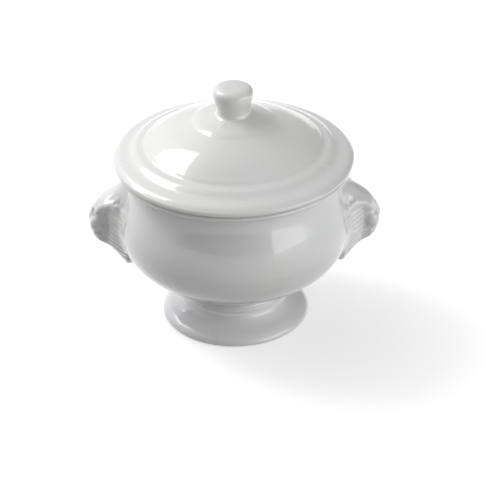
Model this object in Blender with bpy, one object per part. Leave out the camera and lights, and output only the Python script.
"""Sugar bowl in white glazed porcelain: a footed bowl with a lion head on each side and a loose lid.

Units are metres and +Z is up. The origin is the centre of the foot's base. The lion heads point along
-X and +X, and the front of the bowl faces -Y.

The bowl, its foot and the two heads are fired into one piece of porcelain. The lid and its knob are the
other. Each of those six clay parts is modelled as its own closed body, and a fine seam is left where two
of them meet.
"""

import math

import bmesh
import bpy

MM = 0.001

# Driving dimensions, in millimetres.
LID_RADIUS = 55.0
FOOT_RADIUS = 34.5
HEAD_REACH = 67.8
SEAM = 0.3
SEAT_HEIGHT = 81.0
FOOT_JOINT_HEIGHT = 14.3
KNOB_JOINT_HEIGHT = 104.4

# How finely the turned parts and the heads are divided.
TURNED_STEPS = 40
KNOB_STEPS = 32
CURVE_STEPS = 2
HEAD_STEPS = 56

# Bowl, as (radius, height) knots in millimetres.
RIM_TOP = SEAT_HEIGHT - SEAM
LIP_RADIUS = 1.3
LIP_REACH = 54.0
BOWL_OUTSIDE = [
    (22.4, FOOT_JOINT_HEIGHT),
    (25.0, 17.0),
    (31.2, 21.2),
    (38.8, 26.0),
    (46.3, 31.8),
    (51.2, 38.4),
    (53.5, 45.6),
    (53.9, 50.4),
    (53.4, 55.4),
    (52.2, 60.4),
    (50.6, 65.6),
    (49.2, 70.4),
    (48.5, 74.4),
    (49.2, 76.8),
    (51.6, 78.2),
]
BOWL_INSIDE = [
    (46.4, 79.6),
    (45.2, 75.0),
    (45.7, 69.6),
    (48.2, 60.6),
    (50.0, 51.6),
    (47.8, 39.4),
    (42.6, 32.6),
    (34.4, 26.4),
    (24.0, 21.0),
    (12.0, 19.2),
]
BOWL_FLOOR_HEIGHT = 19.0

# Pedestal foot: a hollow trumpet with a bead under the bowl.
FOOT_TOP = FOOT_JOINT_HEIGHT - SEAM
FOOT_OUTSIDE = [
    (22.6, FOOT_TOP),
    (23.9, 13.0),
    (23.7, 11.4),
    (24.6, 8.9),
    (27.6, 6.6),
    (31.6, 4.9),
    (33.8, 3.1),
    (FOOT_RADIUS, 1.5),
    (34.0, 0.4),
    (33.0, 0.0),
]
FOOT_INSIDE = [
    (30.4, 0.0),
    (28.6, 1.8),
    (24.0, 4.6),
    (20.0, 7.6),
    (18.4, 11.0),
    (18.0, FOOT_TOP),
]

# Lid: a brim, a raised ring, a dome and a collar below the knob.
EDGE_RADIUS = 1.5
LID_COLLAR = [
    (8.0, KNOB_JOINT_HEIGHT - SEAM),
    (11.5, 103.5),
    (14.5, 102.8),
    (16.4, 102.15),
    (17.8, 101.5),
    (19.2, 100.75),
    (20.6, 100.2),
]
LID_DOME = [
    (24.4, 98.7),
    (29.2, 96.7),
    (34.0, 94.2),
    (38.0, 91.6),
    (39.4, 90.7),
    (41.0, 89.5),
    (42.6, 88.95),
    (44.1, 88.55),
    (45.5, 87.85),
    (46.8, 87.15),
    (48.4, 86.6),
]
LID_BRIM = [
    (50.0, 85.95),
    (52.0, 85.0),
    (53.3, 84.25),
]
EDGE_START = 50.0
FLANGE_OUTER = 44.6
FLANGE_INNER = 41.2
FLANGE_BOTTOM = 75.2
FLANGE_CHAMFER = 0.6
LID_UNDERSIDE = [
    (FLANGE_INNER, 81.0),
    (40.4, 84.2),
    (37.2, 87.0),
    (31.0, 91.6),
    (22.0, 95.8),
    (11.0, 98.8),
]
LID_CEILING_HEIGHT = 99.6

# Knob: a short neck that flares to a flat, slightly domed top.
KNOB_HEIGHT = 118.1
KNOB_TOP = [
    (0.0, KNOB_HEIGHT),
    (3.5, 118.05),
    (6.2, 117.75),
]
KNOB_PROFILE = [
    (7.9, 117.1),
    (8.9, 116.1),
    (9.3, 114.8),
    (8.9, 112.2),
    (8.0, 109.2),
    (7.4, 106.6),
    (7.4, 105.4),
    (7.9, KNOB_JOINT_HEIGHT),
]

# Lion head: rings that stand across X, from inside the bowl's wall to the nose.
# Each is (reach from the axis, lowest point, highest point, half width, depth of the mane's ribs).
HEAD_RINGS = [
    (44.0, 30.0, 75.0, 13.4, 0.3),
    (49.0, 29.6, 73.6, 13.4, 0.5),
    (52.5, 30.4, 70.8, 13.0, 0.6),
    (55.5, 32.4, 68.0, 12.2, 0.7),
    (58.0, 34.8, 65.8, 11.0, 0.7),
    (59.4, 36.4, 64.6, 10.0, 0.4),
    (58.6, 37.6, 63.8, 8.6, 0.0),
    (60.6, 37.4, 63.4, 8.4, 0.0),
    (62.8, 39.0, 61.2, 7.8, 0.0),
    (64.6, 41.2, 58.2, 6.9, 0.0),
    (65.9, 43.2, 55.6, 5.6, 0.0),
    (67.0, 45.8, 53.2, 3.6, 0.0),
]
MANE_RIBS = 14
NOSE_HEIGHT = 50.0
EAR_ANGLE = math.radians(42.0)
EAR_WIDTH = math.radians(9.0)
EAR_RISE = 2.6
EAR_RINGS = (1, 2, 3)

# Glazed white porcelain, as linear colour, roughness and metallic value.
GLAZE_TINTS = {
    "bowl_body": (0.80, 0.80, 0.80),
    "pedestal_foot": (0.78, 0.78, 0.79),
    "lion_head_left": (0.80, 0.79, 0.78),
    "lion_head_right": (0.80, 0.79, 0.78),
    "lid_shell": (0.82, 0.82, 0.81),
    "lid_knob": (0.82, 0.82, 0.82),
}
GLAZE_ROUGHNESS = 0.08
GLAZE_METALLIC = 0.0


def clear_scene():
    """Start from an empty scene."""
    for thing in list(bpy.data.objects):
        bpy.data.objects.remove(thing, do_unlink=True)


def glaze(name):
    """The glazed porcelain of one part."""
    material = bpy.data.materials.new(name + "_glaze")
    material.use_nodes = True
    shader = material.node_tree.nodes["Principled BSDF"]
    colour = (*GLAZE_TINTS[name], 1.0)
    shader.inputs["Base Color"].default_value = colour
    shader.inputs["Roughness"].default_value = GLAZE_ROUGHNESS
    shader.inputs["Metallic"].default_value = GLAZE_METALLIC
    material.diffuse_color = colour
    return material


def smooth_curve(knots, steps=CURVE_STEPS):
    """Points on a Catmull-Rom curve that runs through every knot, with steps points to each span."""
    before = (2 * knots[0][0] - knots[1][0], 2 * knots[0][1] - knots[1][1])
    after = (2 * knots[-1][0] - knots[-2][0], 2 * knots[-1][1] - knots[-2][1])
    frame = [before, *knots, after]
    points = []
    for a, b, c, d in zip(frame, frame[1:], frame[2:], frame[3:]):
        for step in range(steps):
            t = step / steps
            points.append(
                tuple(
                    0.5
                    * (
                        2 * b[i]
                        + (c[i] - a[i]) * t
                        + (2 * a[i] - 5 * b[i] + 4 * c[i] - d[i]) * t**2
                        + (3 * b[i] - a[i] - 3 * c[i] + d[i]) * t**3
                    )
                    for i in (0, 1)
                )
            )
    points.append(tuple(knots[-1]))
    return points


def arc(centre, radius, start, end, steps):
    """Points on an arc, with its angles in degrees from the +radius direction towards +height."""
    points = []
    for step in range(steps + 1):
        angle = math.radians(start + (end - start) * step / steps)
        points.append((centre[0] + radius * math.cos(angle), centre[1] + radius * math.sin(angle)))
    return points


def finish_mesh(name, work):
    """Make an object from a bmesh, with its faces pointing out and its round faces shaded smooth."""
    bmesh.ops.recalc_face_normals(work, faces=work.faces)
    mesh = bpy.data.meshes.new(name)
    work.to_mesh(mesh)
    work.free()
    mesh.shade_smooth()
    mesh.set_sharp_from_angle(angle=math.radians(40))
    thing = bpy.data.objects.new(name, mesh)
    bpy.context.scene.collection.objects.link(thing)
    return thing


def turned(name, profile, steps=TURNED_STEPS):
    """Spin a closed outline of (radius, height) points, in millimetres, round the Z axis."""
    work = bmesh.new()
    ring = [work.verts.new((radius * MM, 0.0, height * MM)) for radius, height in profile]
    edges = [work.edges.new((a, b)) for a, b in zip(ring, ring[1:])]
    if profile[0][0] > 0 or profile[-1][0] > 0:
        edges.append(work.edges.new((ring[-1], ring[0])))
    bmesh.ops.spin(
        work,
        geom=ring + edges,
        cent=(0.0, 0.0, 0.0),
        axis=(0.0, 0.0, 1.0),
        dvec=(0.0, 0.0, 0.0),
        angle=math.tau,
        steps=steps,
        use_merge=False,
        use_normal_flip=False,
        use_duplicate=False,
    )
    bmesh.ops.remove_doubles(work, verts=work.verts, dist=0.001 * MM)
    return finish_mesh(name, work)


def bowl_body():
    """The bowl: a flat seat below, a full belly, a drawn-in neck and a rounded lip."""
    outside = smooth_curve(BOWL_OUTSIDE)
    lip_centre = (LIP_REACH - LIP_RADIUS, RIM_TOP - LIP_RADIUS)
    lip = arc(lip_centre, LIP_RADIUS, 0, 90, 4)
    rim_inner = arc((BOWL_INSIDE[0][0] + LIP_RADIUS, lip_centre[1]), LIP_RADIUS, 90, 180, 3)
    inside = smooth_curve(BOWL_INSIDE[1:], 1)
    seat = [(0.0, FOOT_JOINT_HEIGHT)]
    return turned("bowl_body", seat + outside + lip + rim_inner + inside + [(0.0, BOWL_FLOOR_HEIGHT)])


def pedestal_foot():
    """The foot: a hollow trumpet that stands on a narrow flat ring."""
    outside = smooth_curve(FOOT_OUTSIDE[:-1]) + [FOOT_OUTSIDE[-1]]
    return turned("pedestal_foot", outside + smooth_curve(FOOT_INSIDE, 1))


def lid_shell():
    """The lid, with the flange below it that keeps it centred in the bowl's mouth."""
    edge_centre = (LID_RADIUS - EDGE_RADIUS, SEAT_HEIGHT + EDGE_RADIUS)
    top = [(0.0, KNOB_JOINT_HEIGHT - SEAM)] + LID_COLLAR + smooth_curve(LID_DOME) + LID_BRIM
    edge = arc(edge_centre, EDGE_RADIUS, EDGE_START, -90, 6)
    flange = [
        (FLANGE_OUTER, SEAT_HEIGHT),
        (FLANGE_OUTER, FLANGE_BOTTOM + FLANGE_CHAMFER),
        (FLANGE_OUTER - FLANGE_CHAMFER, FLANGE_BOTTOM),
        (FLANGE_INNER + FLANGE_CHAMFER, FLANGE_BOTTOM),
        (FLANGE_INNER, FLANGE_BOTTOM + FLANGE_CHAMFER),
    ]
    underside = smooth_curve(LID_UNDERSIDE, 1) + [(0.0, LID_CEILING_HEIGHT)]
    return turned("lid_shell", top + edge + flange + underside)


def lid_knob():
    """The knob, with its foot on the lid's collar."""
    return turned("lid_knob", KNOB_TOP + smooth_curve(KNOB_PROFILE) + [(0.0, KNOB_JOINT_HEIGHT)], KNOB_STEPS)


def wall_cutter():
    """A guide solid, a seam's width larger than the bowl's outside, that shapes the backs of the heads."""
    outside = [(radius + SEAM, height) for radius, height in smooth_curve(BOWL_OUTSIDE)]
    profile = [(0.0, outside[0][1])] + outside + [(0.0, outside[-1][1])]
    cutter = turned("wall_cutter", profile)
    cutter.hide_render = True
    cutter.display_type = "WIRE"
    return cutter


def head_point(ring, index, angle):
    """A point of a head's ring, at an angle measured from +Y towards +Z."""
    reach, low, high, half_width, rib_depth = ring
    middle = (low + high) / 2
    half_height = (high - low) / 2
    rib = rib_depth * math.cos(MANE_RIBS * angle)
    ear = 0.0
    if index in EAR_RINGS:
        for side_angle in (EAR_ANGLE, math.pi - EAR_ANGLE):
            ear += EAR_RISE * math.exp(-(((angle - side_angle) / EAR_WIDTH) ** 2))
    across = (half_width + rib + ear) * math.cos(angle)
    upwards = middle + (half_height + rib + ear) * math.sin(angle)
    return reach, across, upwards


def lion_head(name, side, cutter):
    """A lion head with a ribbed mane, small ears and a blunt face, on the side -1 or +1 of the bowl."""
    work = bmesh.new()
    rings = []
    for index, ring in enumerate(HEAD_RINGS):
        points = []
        for step in range(HEAD_STEPS):
            reach, across, upwards = head_point(ring, index, math.tau * step / HEAD_STEPS)
            points.append(work.verts.new((side * reach * MM, across * MM, upwards * MM)))
        rings.append(points)
    for lower, upper in zip(rings, rings[1:]):
        for step in range(HEAD_STEPS):
            after = (step + 1) % HEAD_STEPS
            work.faces.new((lower[step], lower[after], upper[after], upper[step]))
    nose = work.verts.new((side * HEAD_REACH * MM, 0.0, NOSE_HEIGHT * MM))
    for step in range(HEAD_STEPS):
        work.faces.new((rings[-1][step], rings[-1][(step + 1) % HEAD_STEPS], nose))
    work.faces.new(rings[0])
    head = finish_mesh(name, work)
    cut = head.modifiers.new("fit_to_wall", "BOOLEAN")
    cut.operation = "DIFFERENCE"
    cut.solver = "EXACT"
    cut.object = cutter
    return head


def main():
    clear_scene()
    bowl = bpy.data.objects.new("bowl", None)
    lid = bpy.data.objects.new("lid", None)
    lid.location = (0.0, 0.0, SEAT_HEIGHT * MM)
    for holder in (bowl, lid):
        bpy.context.scene.collection.objects.link(holder)
    bpy.context.view_layer.update()
    cutter = wall_cutter()
    parts = {
        bowl: [
            bowl_body(),
            pedestal_foot(),
            lion_head("lion_head_left", -1, cutter),
            lion_head("lion_head_right", 1, cutter),
        ],
        lid: [lid_shell(), lid_knob()],
    }
    for holder, members in parts.items():
        for member in members:
            member.data.materials.append(glaze(member.name))
            member.parent = holder
            member.matrix_parent_inverse = holder.matrix_world.inverted()


main()
